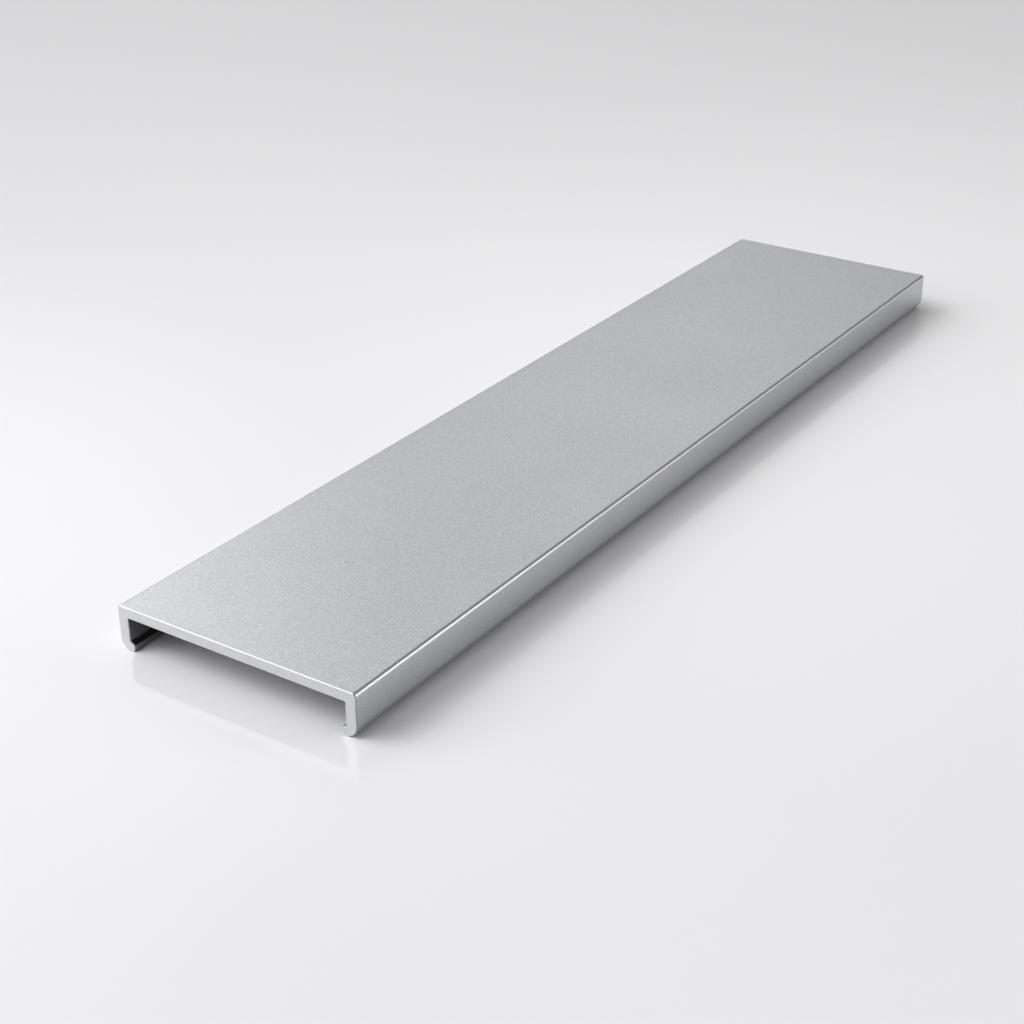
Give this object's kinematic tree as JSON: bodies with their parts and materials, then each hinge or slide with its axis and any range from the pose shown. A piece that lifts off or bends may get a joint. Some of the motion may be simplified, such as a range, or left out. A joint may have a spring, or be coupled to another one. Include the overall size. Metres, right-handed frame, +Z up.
{
  "type": "aluminium extrusion profile",
  "caption": "Clip-on cover profile in extruded aluminium: flat show face, short legs along both sides and an inward snap hook with a ramp along each foot, saw-cut at both ends.",
  "frame": {"origin": "on the floor plane, under the middle of the profile's width and length", "axes": "+Z up through the web, out of the show face; +Y along the extrusion; +X across the width"},
  "size_m": [0.06, 0.27, 0.01],
  "materials": {
    "anodised_aluminium": "satin natural anodised over fine bead blasting, with matt sawn ends"
  },
  "bodies": {
    "root": {"cover_profile": "anodised_aluminium"}
  },
  "joints": []
}
